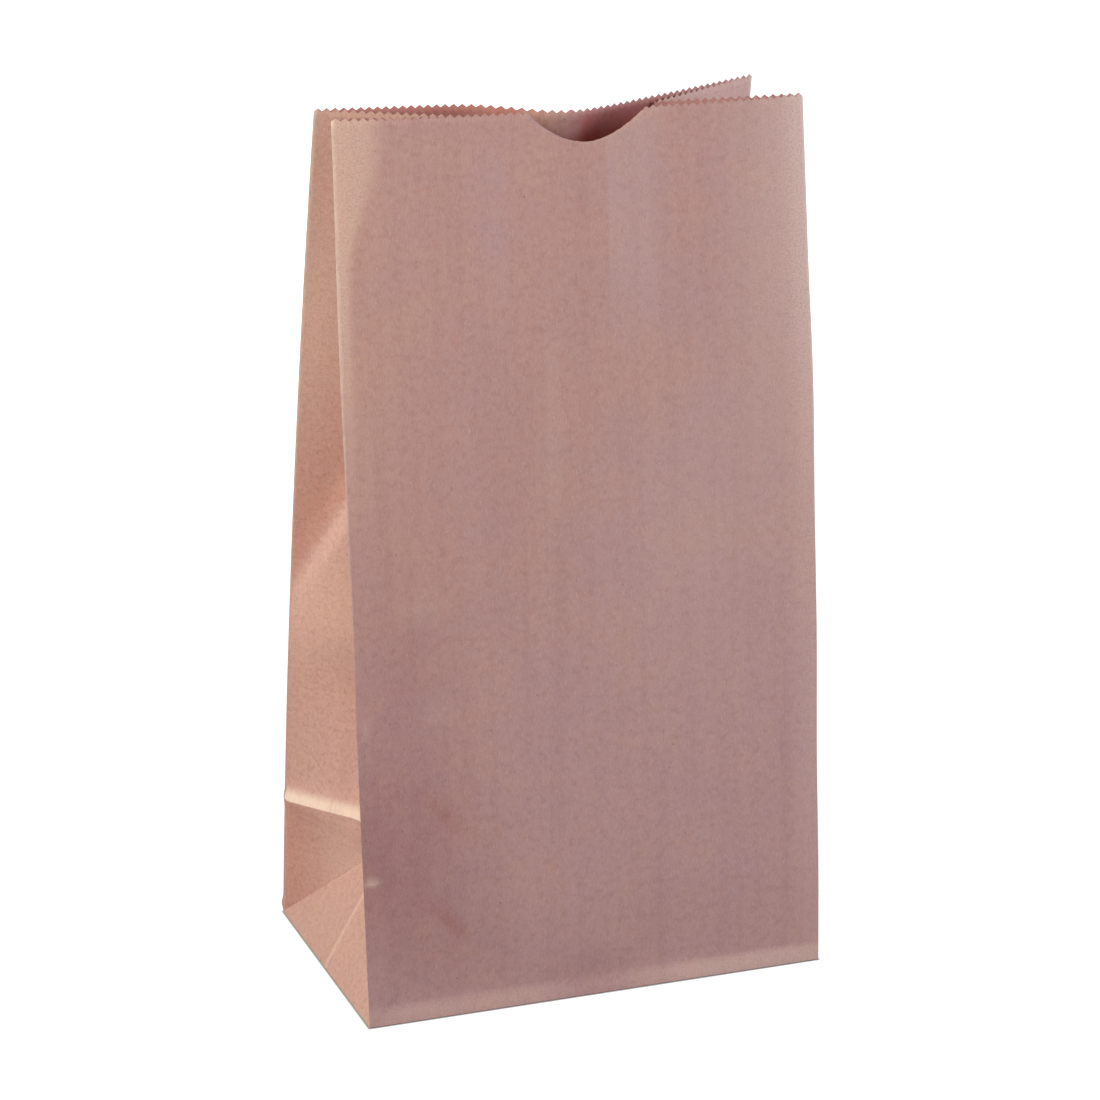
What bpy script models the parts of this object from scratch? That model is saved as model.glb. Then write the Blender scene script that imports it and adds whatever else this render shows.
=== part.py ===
"""A brown paper lunch bag, folded from one sheet of kraft paper.

The sheet is a tube with a front, a back and a gusset down each side, lapped and glued down the back. Its
lower end is folded in and glued into a flat bottom, and its mouth is cut to a sawtooth with a thumb notch in
the front. It stands open: front and back lean together and the gussets push in between them.

A place on the sheet is given by two distances: across, round the tube from a panel's own left or front fold,
and up, along the paper from the bottom fold. +Z is up, the front faces -Y, and the origin is on the ground
under the middle of the bottom.
"""

import math

import bmesh
import bpy
from mathutils import Vector

# The sheet
PANEL_WIDTH = 0.1524
GUSSET_DEPTH = 0.0921
BAG_HEIGHT = 0.2810
PAPER_THICKNESS = 0.00012
SEAM_LAP = 0.0130
BOTTOM_LAP = 0.0180

# The cut round the mouth
TOOTH_PITCH = 0.00266
TOOTH_DEPTH = 0.0010
NOTCH_WIDTH = 0.0393
NOTCH_DEPTH = 0.0099
NOTCH_OFFSET = 0.0027
FRONT_CUT_SLANT = 0.0014
GUSSET_CUT_RISE = 0.0030

# How the open bag stands, measured at the mouth
FRONT_LEFT_LEAN = 0.0323
FRONT_RIGHT_LEAN = 0.0290
LEFT_GAP = 0.0212
RIGHT_GAP = 0.0298
FRONT_LEFT_SHIFT = -0.0007
FRONT_RIGHT_SHIFT = -0.0033
BACK_LEFT_SHIFT = 0.0007
BACK_RIGHT_SHIFT = -0.0070
BACK_SWAY = -0.0029
FRONT_BOW = 0.0040
PINCH_GAP = 0.0020
NEST_GAP = 0.0010

# How much of each upright fold's lean is curved: 0 is a straight fold, 1 is upright at its foot
FRONT_LEFT_CURVE = -0.07
FRONT_RIGHT_CURVE = 0.40
BACK_LEFT_CURVE = -0.30
BACK_RIGHT_CURVE = -0.41

# The back's dent at the mouth: shares of the width where it bends, and of the dent's depth at the first bend
FIRST_BEND = 0.34
SECOND_BEND = 0.48
FIRST_BEND_DEPTH = 0.28
BEND_SOFTNESS = 0.0080
DENT_GROWTH = 1.3

# The ridge that the flat bag's bottom fold leaves across the back half of each gusset
RIDGE_PROUD = 0.0016
RIDGE_FADE = 0.0100

# Facets and the thickening of the sheet
FRONT_STEP = 0.0130
BACK_STEP = 0.0050
GUSSET_STEP = 0.0120
ROW_STEP = 0.0260
STEP_BEVEL = 0.00015
DENT_SAMPLES = 100
SAME_NORMAL = 0.9999
MITRE_ROUNDS = 60
LONGEST_MITRE = 6.0

# The paper's finish
KRAFT_COLOUR = (0.47, 0.29, 0.23, 1.0)
KRAFT_ROUGHNESS = 0.85

CREASE_HEIGHT = GUSSET_DEPTH / 2
BOTTOM_LEVEL = 2 * PAPER_THICKNESS
LEFT, RIGHT = -1, 1
FRONT, BACK = -1, 1


def clear_scene():
    for existing in list(bpy.data.objects):
        bpy.data.objects.remove(existing, do_unlink=True)


def mix(start, end, share):
    return start + (end - start) * share


def lean_of(side, face):
    """How far the top of one upright fold moves: sideways, from front to back, and how curved its lean is."""
    front_lean = FRONT_LEFT_LEAN if side == LEFT else FRONT_RIGHT_LEAN
    gap = LEFT_GAP if side == LEFT else RIGHT_GAP
    if face == FRONT:
        shift = FRONT_LEFT_SHIFT if side == LEFT else FRONT_RIGHT_SHIFT
        curve = FRONT_LEFT_CURVE if side == LEFT else FRONT_RIGHT_CURVE
        return shift, front_lean, curve
    shift = BACK_LEFT_SHIFT if side == LEFT else BACK_RIGHT_SHIFT
    curve = BACK_LEFT_CURVE if side == LEFT else BACK_RIGHT_CURVE
    return shift, gap + front_lean - GUSSET_DEPTH, curve


def upright_fold(side, face, up):
    """A point of the fold between a gusset and the front or back. The fold keeps its length as it leans."""
    shift, lean, curve = lean_of(side, face)
    share = up / BAG_HEIGHT
    moved = (1 - curve) * share + curve * share**2
    slope_squared = (1 - curve) ** 2 * share + 2 * curve * (1 - curve) * share**2 + 4 / 3 * curve**2 * share**3
    lost_height = (shift**2 + lean**2) / (2 * BAG_HEIGHT) * slope_squared
    sway = BACK_SWAY * 4 * share * (1 - share) if face == BACK else 0.0
    return Vector(
        (
            side * PANEL_WIDTH / 2 + shift * moved + sway,
            face * GUSSET_DEPTH / 2 + lean * moved,
            BOTTOM_LEVEL + up - lost_height,
        )
    )


def crease_drop(side):
    """How much lower the gusset's middle crease lies than the upright folds beside it.

    The bottom triangle tips in about its base, so its tip, where the crease starts, comes down. The tip stays
    half a gusset away from the base and from both folds, which gives the drop.
    """
    front = upright_fold(side, FRONT, CREASE_HEIGHT)
    back = upright_fold(side, BACK, CREASE_HEIGHT)
    height = (front.z + back.z) / 2 - BOTTOM_LEVEL
    half_gap = (back - front).length / 2
    return (height**2 - half_gap**2) / (2 * height)


def middle_crease(side, up):
    """A point of the gusset's middle crease, above the tip of the bottom triangle."""
    front = upright_fold(side, FRONT, up)
    back = upright_fold(side, BACK, up)
    drop = crease_drop(side)
    across_gap = back - front
    push = math.sqrt((GUSSET_DEPTH / 2) ** 2 - (across_gap.length / 2) ** 2 - drop**2)
    inward = Vector((-side * across_gap.y, side * across_gap.x, 0)).normalized()
    return (front + back) / 2 + inward * push - Vector((0, 0, drop))


def slanted_crease(side, face, up):
    """A point of the crease from a bottom corner to the tip of the bottom triangle."""
    return mix(upright_fold(side, face, 0), middle_crease(side, CREASE_HEIGHT), up / CREASE_HEIGHT)


def ridge_stand(from_fold, up):
    """How far the back half of a gusset stands out along its ridge, which dies away at both ends."""
    along = min(1.0, from_fold / RIDGE_FADE) * (1 - from_fold / CREASE_HEIGHT)
    return RIDGE_PROUD * along * max(0.0, 1 - abs(up - CREASE_HEIGHT) / RIDGE_FADE)


def gusset_point(side, across, up):
    """A point of a gusset, across from its front fold to its back fold."""
    face = FRONT if across <= GUSSET_DEPTH / 2 else BACK
    from_fold = min(across, GUSSET_DEPTH - across)
    fold = upright_fold(side, face, up)
    if up >= CREASE_HEIGHT:
        point = mix(fold, middle_crease(side, up), from_fold / CREASE_HEIGHT)
    elif from_fold <= up:
        point = mix(fold, slanted_crease(side, face, up), from_fold / up if up > 0 else 0)
    else:
        near = slanted_crease(side, FRONT, up)
        far = slanted_crease(side, BACK, up)
        point = mix(near, far, (across - up) / (GUSSET_DEPTH - 2 * up))
    if face == BACK and from_fold <= up:
        point.x += side * ridge_stand(from_fold, up)
    return point


def steps_between(start, end, step):
    """Even steps from start to end, each as near to the wished step as they can be."""
    count = max(1, round((end - start) / step))
    return [mix(start, end, place / count) for place in range(count + 1)]


def soft_ramp(distance):
    """Zero before a bend and rising after it, rounded over the paper's bending radius."""
    return (distance + math.hypot(distance, BEND_SOFTNESS)) / 2


def dent_shape(across):
    """Share of the dent's depth at one place across the back: three flats with two soft bends."""
    first = FIRST_BEND * PANEL_WIDTH
    second = SECOND_BEND * PANEL_WIDTH
    slope_in = FIRST_BEND_DEPTH / first
    slope_down = (1 - FIRST_BEND_DEPTH) / (second - first)
    slope_out = -1 / (PANEL_WIDTH - second)

    def rounded(place):
        turn_first = (slope_down - slope_in) * soft_ramp(place - first)
        turn_second = (slope_out - slope_down) * soft_ramp(place - second)
        return slope_in * place + turn_first + turn_second

    ends = mix(rounded(0), rounded(PANEL_WIDTH), across / PANEL_WIDTH)
    return rounded(across) - ends


def front_point(across, up):
    """A point of the front, across from its left fold to its right fold."""
    share = across / PANEL_WIDTH
    point = mix(upright_fold(LEFT, FRONT, up), upright_fold(RIGHT, FRONT, up), share)
    point.y -= FRONT_BOW * 4 * share * (1 - share) * up / BAG_HEIGHT
    return point


def dent_depth():
    """Depth at the mouth: as far as the pinch gap to the front and the nest gap to each gusset crease allow."""
    left = upright_fold(LEFT, BACK, BAG_HEIGHT)
    right = upright_fold(RIGHT, BACK, BAG_HEIGHT)

    def room(obstacle, gap):
        share = (obstacle.x - left.x) / (right.x - left.x)
        return (mix(left.y, right.y, share) - obstacle.y - gap) / dent_shape(share * PANEL_WIDTH)

    places = steps_between(0, PANEL_WIDTH, PANEL_WIDTH / DENT_SAMPLES)
    limits = [room(front_point(max(places, key=dent_shape), BAG_HEIGHT), PINCH_GAP)]
    limits += [room(middle_crease(side, BAG_HEIGHT), NEST_GAP) for side in (LEFT, RIGHT)]
    return min(limits)


def seam_layers(across):
    """Extra layers of paper where the sheet's two ends lap down the middle of the back."""
    from_edge = SEAM_LAP / 2 - abs(across - PANEL_WIDTH / 2)
    return min(1.0, max(0.0, from_edge / STEP_BEVEL))


def back_point(across, up):
    """A point of the back, across from its left fold to its right fold as the front sees it."""
    share = across / PANEL_WIDTH
    point = mix(upright_fold(LEFT, BACK, up), upright_fold(RIGHT, BACK, up), share)
    point.y -= dent_depth() * dent_shape(across) * (up / BAG_HEIGHT) ** DENT_GROWTH
    point.y += PAPER_THICKNESS * seam_layers(across)
    return point


def notch_cut(across):
    """Depth of the thumb notch at one place across the front: an arc through its two ends."""
    radius = (NOTCH_WIDTH**2 / 4 + NOTCH_DEPTH**2) / (2 * NOTCH_DEPTH)
    from_middle = abs(across - PANEL_WIDTH / 2 - NOTCH_OFFSET)
    if from_middle >= NOTCH_WIDTH / 2:
        return 0.0
    return math.sqrt(radius**2 - from_middle**2) - (radius - NOTCH_DEPTH)


def tooth_cut(from_fold):
    """Depth of the sawtooth. The flat bag is cut in one stroke, so teeth are counted from the folds."""
    phase = (from_fold / TOOTH_PITCH) % 1.0
    return TOOTH_DEPTH * abs(1 - 2 * phase)


def front_gain(side):
    """The knife meets the front on a slant, so the cut is higher at its left fold than at its right fold."""
    return -side * FRONT_CUT_SLANT / 2


class Panel:
    """One of the tube's four sides, with the function that gives its points and the cut along its top.

    The cut is level with BAG_HEIGHT, apart from what it gains at the panel's two folds and at its middle.
    """

    def __init__(self, name, width, point, step, gains=(0.0, 0.0), middle_gain=0.0, extra_stations=()):
        self.name = name
        self.width = width
        self.point = point
        self.step = step
        self.gains = gains
        self.middle_gain = middle_gain
        self.extra_stations = extra_stations

    def from_fold(self, across):
        return min(across, self.width - across)

    def top(self, across):
        share = across / self.width
        gain = mix(self.gains[0], self.gains[1], share) + self.middle_gain * (1 - abs(1 - 2 * share))
        cut = tooth_cut(self.from_fold(across))
        if self.name == "front":
            cut = max(cut, notch_cut(across))
        return BAG_HEIGHT + gain - cut

    def stations(self, start, end):
        """Places across the panel where a row of points has one, between two of them."""
        if end - start < STEP_BEVEL:
            return [start]
        extra = [place for place in self.extra_stations if start < place < end]
        return sorted(set(steps_between(start, end, self.step)) | set(extra))

    def teeth(self, start, end):
        """Places of the tips and roots along the mouth."""
        half_pitch = TOOTH_PITCH / 2
        count = int(self.width / 2 / half_pitch)
        near = [step * half_pitch for step in range(count + 1)]
        found = near + [self.width - place for place in near] + [start, end] + list(self.extra_stations)
        if self.name == "front":
            found += [
                self.width / 2 + NOTCH_OFFSET - NOTCH_WIDTH / 2,
                self.width / 2 + NOTCH_OFFSET + NOTCH_WIDTH / 2,
            ]
        kept = []
        for place in sorted(place for place in found if start <= place <= end):
            if not kept or place - kept[-1] > STEP_BEVEL / 2:
                kept.append(place)
        kept[-1] = end
        return kept


class Sheet:
    """The outer face of the paper as a mesh whose points are shared by their place on the sheet."""

    def __init__(self):
        self.mesh = bmesh.new()
        self.layers = self.mesh.verts.layers.float.new("layers")
        self.known = {}

    def vertex(self, point, layers=1.0):
        key = tuple(round(value / (PAPER_THICKNESS / 4)) for value in point)
        if key not in self.known:
            self.known[key] = self.mesh.verts.new(point)
            self.known[key][self.layers] = layers
        return self.known[key]

    def face(self, first, second, third):
        if len({first, second, third}) == 3:
            self.mesh.faces.new((first, second, third))

    def stitch(self, lower, upper):
        """Joins two rows of (across, vertex) pairs with triangles, stepping along whichever is behind."""
        low = high = 0
        while low < len(lower) - 1 or high < len(upper) - 1:
            lower_next = lower[low + 1][0] if low < len(lower) - 1 else math.inf
            upper_next = upper[high + 1][0] if high < len(upper) - 1 else math.inf
            if lower_next <= upper_next:
                self.face(lower[low][1], lower[low + 1][1], upper[high][1])
                low += 1
            else:
                self.face(lower[low][1], upper[high + 1][1], upper[high][1])
                high += 1


def add_panel(sheet, panel, regions):
    """Adds a panel, region by region. A region gives its rows as (up, start, end), from the bottom up."""
    for rows in regions:
        previous = None
        for up, start, end in rows:
            row = []
            for across in panel.stations(start, end):
                layers = 1 + seam_layers(across) if panel.name == "back" else 1
                row.append((across, sheet.vertex(panel.point(across, up), layers)))
            if previous:
                sheet.stitch(previous, row)
            previous = row
        if rows[-1][0] > CREASE_HEIGHT:
            rim = []
            for across in panel.teeth(rows[-1][1], rows[-1][2]):
                layers = 1 + seam_layers(across) if panel.name == "back" else 1
                rim.append((across, sheet.vertex(panel.point(across, panel.top(across)), layers)))
            sheet.stitch(previous, rim)


def row_heights():
    """Heights of the rows, alike on every panel: up to the gusset creases, and from there to under the notch."""
    highest = BAG_HEIGHT - NOTCH_DEPTH - TOOTH_PITCH / 2
    return steps_between(0, CREASE_HEIGHT, ROW_STEP), steps_between(CREASE_HEIGHT, highest, ROW_STEP)


def add_walls(sheet):
    seam = [PANEL_WIDTH / 2 + edge for edge in (-SEAM_LAP / 2, SEAM_LAP / 2)]
    bevels = [seam[0] + STEP_BEVEL, seam[1] - STEP_BEVEL]
    front = Panel("front", PANEL_WIDTH, front_point, FRONT_STEP, (front_gain(LEFT), front_gain(RIGHT)))
    back = Panel("back", PANEL_WIDTH, back_point, BACK_STEP, extra_stations=seam + bevels)
    below, above = row_heights()
    for panel in (front, back):
        add_panel(sheet, panel, [[(up, 0, PANEL_WIDTH) for up in below + above[1:]]])
    half = GUSSET_DEPTH / 2
    for side, name in ((LEFT, "left gusset"), (RIGHT, "right gusset")):

        def point(across, up, side=side):
            return gusset_point(side, across, up)

        gusset = Panel(name, GUSSET_DEPTH, point, GUSSET_STEP, (front_gain(side), 0.0), GUSSET_CUT_RISE)
        front_half = [(up, 0, half) for up in above]
        back_half = [(up, half, GUSSET_DEPTH) for up in above]
        front_corner = [(up, 0, up) for up in below]
        bottom_triangle = [(up, up, GUSSET_DEPTH - up) for up in below]
        back_corner = [(up, GUSSET_DEPTH - up, GUSSET_DEPTH) for up in below]
        add_panel(sheet, gusset, [front_half, back_half, front_corner, bottom_triangle, back_corner])


def add_bottom(sheet):
    """Closes the tube with a flat face, as a fan of triangles from its middle."""
    centre = sheet.vertex(Vector((0, 0, BOTTOM_LEVEL)))
    level = PAPER_THICKNESS / 4
    for edge in [edge for edge in sheet.mesh.edges if edge.is_boundary]:
        if all(abs(vertex.co.z - BOTTOM_LEVEL) < level for vertex in edge.verts):
            sheet.face(centre, edge.verts[0], edge.verts[1])


def mitre(vertex):
    """The vector whose length along each face's normal beside the vertex is one, as nearly as one vector can."""
    normals = []
    for face in vertex.link_faces:
        if not any(face.normal.dot(known) > SAME_NORMAL for known in normals):
            normals.append(face.normal.copy())
    offset = sum(normals, Vector()).normalized()
    for _ in range(MITRE_ROUNDS):
        for normal in normals:
            offset += normal * (1 - offset.dot(normal))
    return offset if offset.length < LONGEST_MITRE else offset.normalized() * LONGEST_MITRE


def thicken(sheet):
    """Makes the paper solid: an inner face one paper thickness in, or two at the seam, and the cut edge."""
    mesh = sheet.mesh
    outer = list(mesh.verts)
    faces = list(mesh.faces)
    rim = [edge for edge in mesh.edges if edge.is_boundary]
    rim_pairs = []
    for edge in rim:
        loop = edge.link_loops[0]
        rim_pairs.append((loop.vert, loop.link_loop_next.vert))
    inner = {}
    for vertex in outer:
        depth = PAPER_THICKNESS * vertex[sheet.layers]
        inner[vertex] = vertex.co - mitre(vertex) * depth
    inner = {vertex: mesh.verts.new(place) for vertex, place in inner.items()}
    for face in faces:
        mesh.faces.new([inner[vertex] for vertex in reversed(face.verts)])
    for start, end in rim_pairs:
        mesh.faces.new((end, start, inner[start], inner[end]))


def flap_plate(name, corners, low, high):
    """A thin flat layer of the folded bottom, for joining to the bag."""
    mesh = bmesh.new()
    ring = [mesh.verts.new((x, y, low)) for x, y in corners]
    base = mesh.faces.new(ring)
    raised = bmesh.ops.extrude_face_region(mesh, geom=[base])
    for vertex in [item for item in raised["geom"] if isinstance(item, bmesh.types.BMVert)]:
        vertex.co.z = high
    bmesh.ops.recalc_face_normals(mesh, faces=mesh.faces)
    data = bpy.data.meshes.new(name)
    mesh.to_mesh(data)
    mesh.free()
    plate = bpy.data.objects.new(name, data)
    bpy.context.scene.collection.objects.link(plate)
    plate.hide_render = True
    plate.display_type = "WIRE"
    return plate


def bottom_flaps():
    """The layers seen from below: both long flaps with their mitred ends, and their lap along the middle."""
    margin = 2 * PAPER_THICKNESS
    half_width = PANEL_WIDTH / 2 - margin
    half_depth = GUSSET_DEPTH / 2 - margin
    meet = half_width - half_depth
    half_lap = BOTTOM_LAP / 2
    inside = BOTTOM_LEVEL + PAPER_THICKNESS / 2
    both = [(-half_width, -half_depth), (half_width, -half_depth), (meet, 0)]
    both += [(half_width, half_depth), (-half_width, half_depth), (-meet, 0)]
    lap = [(-meet, 0), (half_lap - meet, -half_lap), (meet - half_lap, -half_lap)]
    lap += [(meet, 0), (meet - half_lap, half_lap), (half_lap - meet, half_lap)]
    return [
        flap_plate("long_flaps", both, PAPER_THICKNESS, inside),
        flap_plate("flap_lap", lap, 0.0, inside),
    ]


def kraft_paper():
    material = bpy.data.materials.new("kraft_paper")
    material.use_nodes = True
    finish = material.node_tree.nodes["Principled BSDF"]
    finish.inputs["Base Color"].default_value = KRAFT_COLOUR
    finish.inputs["Roughness"].default_value = KRAFT_ROUGHNESS
    finish.inputs["Metallic"].default_value = 0.0
    return material


def build_bag():
    sheet = Sheet()
    add_walls(sheet)
    add_bottom(sheet)
    bmesh.ops.recalc_face_normals(sheet.mesh, faces=sheet.mesh.faces)
    thicken(sheet)
    data = bpy.data.meshes.new("paper_bag")
    sheet.mesh.to_mesh(data)
    sheet.mesh.free()
    data.materials.append(kraft_paper())
    bag = bpy.data.objects.new("paper_bag", data)
    bpy.context.scene.collection.objects.link(bag)
    for plate in bottom_flaps():
        union = bag.modifiers.new(plate.name, "BOOLEAN")
        union.operation = "UNION"
        union.object = plate
    return bag


clear_scene()
build_bag()
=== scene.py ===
import math

import bmesh
import bpy
from mathutils import Matrix, Vector, noise


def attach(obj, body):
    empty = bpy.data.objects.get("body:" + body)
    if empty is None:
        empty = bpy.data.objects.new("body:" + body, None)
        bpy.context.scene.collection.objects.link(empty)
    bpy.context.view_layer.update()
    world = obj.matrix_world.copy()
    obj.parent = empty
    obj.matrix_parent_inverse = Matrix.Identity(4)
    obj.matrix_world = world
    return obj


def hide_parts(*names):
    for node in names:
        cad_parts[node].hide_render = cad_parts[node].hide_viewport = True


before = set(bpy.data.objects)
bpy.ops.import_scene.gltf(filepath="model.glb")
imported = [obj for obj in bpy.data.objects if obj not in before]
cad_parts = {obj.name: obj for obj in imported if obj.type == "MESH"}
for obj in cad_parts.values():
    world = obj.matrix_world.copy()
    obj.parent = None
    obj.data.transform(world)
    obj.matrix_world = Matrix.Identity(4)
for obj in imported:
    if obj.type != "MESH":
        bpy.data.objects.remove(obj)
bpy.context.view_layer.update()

# The sheet, in metres, the same as its solid's
PANEL_WIDTH = 0.1524
GUSSET_DEPTH = 0.0921
BAG_HEIGHT = 0.2810
PAPER_THICKNESS = 0.00012
SEAM_LAP = 0.0130
BOTTOM_LAP = 0.0180
CREASE_HEIGHT = GUSSET_DEPTH / 2
BOTTOM_LEVEL = 2 * PAPER_THICKNESS

# The cut round the mouth
TOOTH_PITCH = 0.00266
TOOTH_DEPTH = 0.0010
NOTCH_WIDTH = 0.0393
NOTCH_DEPTH = 0.0099
NOTCH_OFFSET = 0.0027
NOTCH_SHOULDER = 0.0026
NOTCH_LEFT_POWER = 2.05
NOTCH_RIGHT_POWER = 1.75
NOTCH_FUZZ = 0.00022
NOTCH_FUZZ_LENGTH = 0.0011
FRONT_CUT_SLANT = 0.0014
GUSSET_CUT_RISE = 0.0030

# How the open bag stands, measured at the mouth, the same as its solid's
FRONT_LEFT_LEAN = 0.0323
FRONT_RIGHT_LEAN = 0.0290
LEFT_GAP = 0.0212
RIGHT_GAP = 0.0298
FRONT_LEFT_SHIFT = -0.0007
FRONT_RIGHT_SHIFT = -0.0033
BACK_LEFT_SHIFT = 0.0007
BACK_RIGHT_SHIFT = -0.0070
BACK_SWAY = -0.0029
FRONT_BOW = 0.0040
PINCH_GAP = 0.0020
NEST_GAP = 0.0010
FRONT_LEFT_CURVE = -0.07
FRONT_RIGHT_CURVE = 0.40
BACK_LEFT_CURVE = -0.30
BACK_RIGHT_CURVE = -0.41
FIRST_BEND = 0.34
SECOND_BEND = 0.48
FIRST_BEND_DEPTH = 0.28
BEND_SOFTNESS = 0.0080
DENT_GROWTH = 1.3

# The ridge that the flat bag's bottom fold leaves across the back half of each gusset
RIDGE_PROUD = 0.0026
RIDGE_ABOVE = 0.0085
RIDGE_BELOW = 0.0190
RIDGE_LOWERED = 0.0010
RIDGE_ARCH = 0.0068
RIDGE_SPREAD = 0.0400
RIDGE_SHARPNESS = 1.5
RIDGE_START = 0.25
RIDGE_START_REACH = 0.0060
RIDGE_END_SHARE = 0.35
RELIEF_FADE = 0.0120

# The left gusset's back half: a soft bulge under a slanting line, and a shallow hollow over it
BULGE_DEPTH = 0.0046
BULGE_HEIGHT = 0.1235
BULGE_SLANT = 1.95
BULGE_EDGE = 0.0120
BULGE_FOOT = 0.0860
BULGE_FOOT_REACH = 0.0300
HOLLOW_DEPTH = 0.0014
HOLLOW_REACH = 0.0900

# The old middle crease down each bottom triangle
OLD_CREASE_PROUD = 0.0005
OLD_CREASE_REACH = 0.0040
OLD_CREASE_FADE = 0.0060
OLD_CREASE_FOOT = 0.0030

# Small relief of the paper
FOLD_STRIP = 0.0120
WAVE_DEPTH = 0.00035
WAVE_LENGTH = 0.0550
RIPPLE_SHARE = 0.4
RIPPLES_ACROSS = 2.7
RIPPLES_UP = 1.6
WAVE_PATTERN_GAP = 7.3
RIPPLE_PATTERN_SHIFT = 3
FLUTE_DEPTH = 0.00022
FLUTE_LENGTH = 0.0130
FLUTE_HEIGHT = 0.1200
FLUTE_REACH = 0.0500
FLUTE_PATTERN_GAP = 11.0
FOOT_FADE = 0.0100
FOOT_STRIP = 0.0062
FOOT_STRIP_FADE = 0.0300
FOOT_DEPTH = 0.0009
LEFT_ROLL = 0.0014
LEFT_ROLL_REACH = 0.0065
RIGHT_ROLL = 0.0022
RIGHT_ROLL_REACH = 0.0120
ROLL_FOOT = 0.1000
LAP_EDGE = 0.00015

# Small kinks in the upright folds: side, face, height, shift to the right, reach up and down
FOLD_KINKS = (
    (-1, 1, 0.0450, -0.0004, 0.0035),
    (-1, 1, 0.0035, -0.0006, 0.0034),
    (-1, -1, 0.2100, -0.0004, 0.0650),
    (-1, -1, 0.1250, 0.0003, 0.0350),
    (1, -1, 0.1900, 0.0005, 0.0450),
    (1, -1, 0.0700, -0.0004, 0.0450),
)

# The mesh
TEETH_COLUMN = TOOTH_PITCH / 2
ROW_STEP = 0.0035
FOLD_COLUMNS = (0.00030, 0.00075)
CLOSEST_COLUMNS = 0.00008
RIM_BAND = 0.0160
RIM_ROWS = 7
DENT_SAMPLES = 100
FOLD_THINNING = 0.04
FOLD_THINNING_REACH = 0.0050
HARD_FOLD_ANGLE = 0.22
MOST_LAYERS = 2

# Marks of distance are in millimetres, and FAR stands for no crease near
MILLIMETRES = 1000.0
FAR = 100.0
CREASE_SLACK = 0.0010
DISTANCE_MARKS = ("from_fold", "from_ridge", "from_crease")
MARKS = DISTANCE_MARKS + ("pale", "dark", "warm", "mauve", "inner_shade", "layers", "coarse")

# Where the bottom's layers lie on the paper's pattern
INNER_LAYER_PLACE = Vector((0.3, -0.1))
FLAP_PLACE = Vector((0.3, -0.3))

# The flaps of the bottom stay inside its folds, and the back one stays clear of the front one
FLAP_MARGIN = 2 * PAPER_THICKNESS
BACK_FLAP_SHARE = 0.98

# How far from the bag the painted contact shadow starts to fade and ends: a dark line of floor under its
# edges, where the floor's own glow is cut
PAINTED_CONTACT_SHADOW = (0.0002, 0.0008)

# The view, from the photograph
LENS = 122.95
SENSOR = 36.0
CAMERA_PLACE = (-0.4020, -1.0462, 0.5210)
CAMERA_YAW = 0.366
CAMERA_PITCH = 0.333
CAMERA_ROLL = 0.014

LEFT, RIGHT = -1, 1
FRONT, BACK = -1, 1


def mix(start, end, share):
    return start + (end - start) * share


def smooth(value):
    """Zero up to 0, one from 1 on, and a soft step between them."""
    value = min(1.0, max(0.0, value))
    return value * value * (3 - 2 * value)


def rise(value, start, end):
    """Zero up to the start, one from the end on, and a soft step between them."""
    return smooth((value - start) / (end - start))


# The folded form

def lean_of(side, face):
    """How far an upright fold's top moves, sideways and from front to back, and how curved its lean is."""
    front_lean = FRONT_LEFT_LEAN if side == LEFT else FRONT_RIGHT_LEAN
    gap = LEFT_GAP if side == LEFT else RIGHT_GAP
    if face == FRONT:
        shift = FRONT_LEFT_SHIFT if side == LEFT else FRONT_RIGHT_SHIFT
        curve = FRONT_LEFT_CURVE if side == LEFT else FRONT_RIGHT_CURVE
        return shift, front_lean, curve
    shift = BACK_LEFT_SHIFT if side == LEFT else BACK_RIGHT_SHIFT
    curve = BACK_LEFT_CURVE if side == LEFT else BACK_RIGHT_CURVE
    return shift, gap + front_lean - GUSSET_DEPTH, curve


def upright_fold(side, face, up):
    """A point of the fold between a gusset and the front or back. The fold keeps its length as it leans."""
    shift, lean, curve = lean_of(side, face)
    share = up / BAG_HEIGHT
    straight = 1 - curve
    moved = straight * share + curve * share**2
    slope_squared = straight**2 * share + 2 * curve * straight * share**2 + 4 / 3 * curve**2 * share**3
    lost_height = (shift**2 + lean**2) / (2 * BAG_HEIGHT) * slope_squared
    sway = BACK_SWAY * 4 * share * (1 - share) if face == BACK else 0.0
    for kink_side, kink_face, height, kink, reach in FOLD_KINKS:
        if (kink_side, kink_face) == (side, face):
            sway += kink * smooth(1 - abs(up - height) / reach)
    return Vector(
        (
            side * PANEL_WIDTH / 2 + shift * moved + sway,
            face * GUSSET_DEPTH / 2 + lean * moved,
            BOTTOM_LEVEL + up - lost_height,
        )
    )


def crease_drop(side):
    """How much lower the gusset's middle crease lies than the upright folds beside it."""
    front = upright_fold(side, FRONT, CREASE_HEIGHT)
    back = upright_fold(side, BACK, CREASE_HEIGHT)
    height = (front.z + back.z) / 2 - BOTTOM_LEVEL
    half_gap = (back - front).length / 2
    return (height**2 - half_gap**2) / (2 * height)


def middle_crease(side, up):
    """A point of the gusset's middle crease, above the tip of the bottom triangle."""
    front = upright_fold(side, FRONT, up)
    back = upright_fold(side, BACK, up)
    drop = crease_drop(side)
    across_gap = back - front
    push = math.sqrt((GUSSET_DEPTH / 2) ** 2 - (across_gap.length / 2) ** 2 - drop**2)
    inward = Vector((-side * across_gap.y, side * across_gap.x, 0)).normalized()
    return (front + back) / 2 + inward * push - Vector((0, 0, drop))


def slanted_crease(side, face, up):
    """A point of the crease from a bottom corner to the tip of the bottom triangle."""
    return mix(upright_fold(side, face, 0), middle_crease(side, CREASE_HEIGHT), up / CREASE_HEIGHT)


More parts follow.
